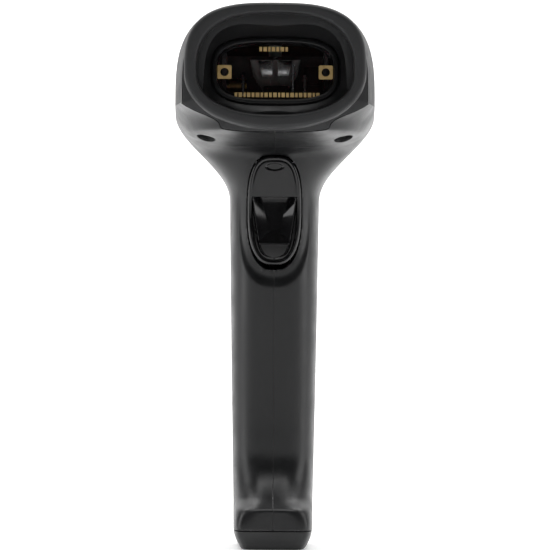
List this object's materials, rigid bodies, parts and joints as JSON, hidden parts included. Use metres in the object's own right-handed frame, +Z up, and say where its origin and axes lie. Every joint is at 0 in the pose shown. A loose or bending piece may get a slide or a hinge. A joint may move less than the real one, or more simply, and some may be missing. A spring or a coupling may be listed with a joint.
{
  "type": "handheld barcode scanner",
  "caption": "Pistol-grip laser barcode scanner: hollow head with a tinted window and rubber bumper, hinged trigger, swinging mirror engine, cable socket in the foot",
  "frame": {"origin": "on the flat underside of the base cap, in the middle of the handle's foot", "axes": "+Z runs up the handle to the head, -Y is the way the window faces, +X is the right-hand side seen from in front of the window"},
  "size_m": [0.0668, 0.0969, 0.18],
  "materials": {
    "housing_dark": "matt black moulded plastic with a fine spark-eroded grain",
    "housing_grey": "satin charcoal moulded plastic with a fine grain",
    "bumper_rubber": "matt black rubber",
    "bezel_black": "matt black plastic funnel",
    "window_red": "dark red tinted glossy window",
    "trigger_gloss": "high-gloss black plastic",
    "black_plastic": "satin black plastic",
    "plunger_red": "red plastic",
    "connector_white": "off-white nylon",
    "board_green": "green circuit board with solder mask",
    "clear_plastic": "clear acrylic",
    "clear_glass": "clear lens",
    "chassis_grey": "grey die-cast zinc alloy",
    "holder_grey": "light grey glass-filled plastic",
    "mirror_silver": "silvered mirror with ring facets",
    "barrel_brass": "turned brass",
    "coil_copper": "enamelled copper winding",
    "contact_gold": "gold-plated contacts",
    "pin_steel": "bright steel",
    "screw_steel": "zinc-plated steel",
    "wire_sleeve": "black wire sleeve"
  },
  "bodies": {
    "housing": {"upper_housing": "housing_dark", "left_shell": "housing_grey", "right_shell": "housing_grey", "nose_bumper": "bumper_rubber", "window_bezel": "bezel_black", "window_gasket": "bumper_rubber", "scan_window": "window_red", "base_cap": "housing_grey", "base_screws": "screw_steel", "head_screws": "screw_steel", "handle_screws": "screw_steel", "trigger_pin": "pin_steel", "trigger_spring": "pin_steel", "switch_body": "black_plastic", "switch_board": "board_green", "main_board": "board_green", "board_chips": "black_plastic", "board_connectors": "connector_white", "board_screws": "screw_steel", "buzzer": "black_plastic", "status_led": "connector_white", "light_pipe": "clear_plastic", "engine_chassis": "chassis_grey", "engine_grommets": "bumper_rubber", "engine_screws": "screw_steel", "engine_board": "board_green", "laser_barrel": "barrel_brass", "laser_lens": "clear_glass", "photodiode": "black_plastic", "light_filter": "window_red", "drive_coil": "coil_copper", "mirror_pin": "pin_steel", "cable_socket": "black_plastic", "socket_contacts": "contact_gold", "socket_harness": "wire_sleeve", "switch_lead": "wire_sleeve"},
    "trigger": {"trigger": "trigger_gloss"},
    "plunger": {"switch_plunger": "plunger_red"},
    "mirror": {"mirror_holder": "holder_grey", "scan_mirror": "mirror_silver", "mirror_magnet": "pin_steel"}
  },
  "joints": [
    {"name": "trigger_hinge", "type": "hinge", "parent": "housing", "child": "trigger", "pos_m": [0, -0.0126, 0.1293], "axis": [1, 0, 0], "range_deg": [0, 4.5], "stiffness_Nm_per_rad": 0.8, "springref_deg": -2.86, "deforming": ["trigger_spring"]},
    {"name": "plunger_slide", "type": "slide", "parent": "housing", "child": "plunger", "axis": [0, 1, 0], "range_m": [0, 0.00114]},
    {"name": "mirror_swing", "type": "hinge", "parent": "housing", "child": "mirror", "pos_m": [0, -0.013, 0.158], "axis": [0, 0, 1], "range_deg": [-11, 11], "stiffness_Nm_per_rad": 0.002}
  ],
  "couplings": [
    {"joint": "plunger_slide", "follows": "trigger_hinge", "m_per_rad": 0.0145}
  ]
}
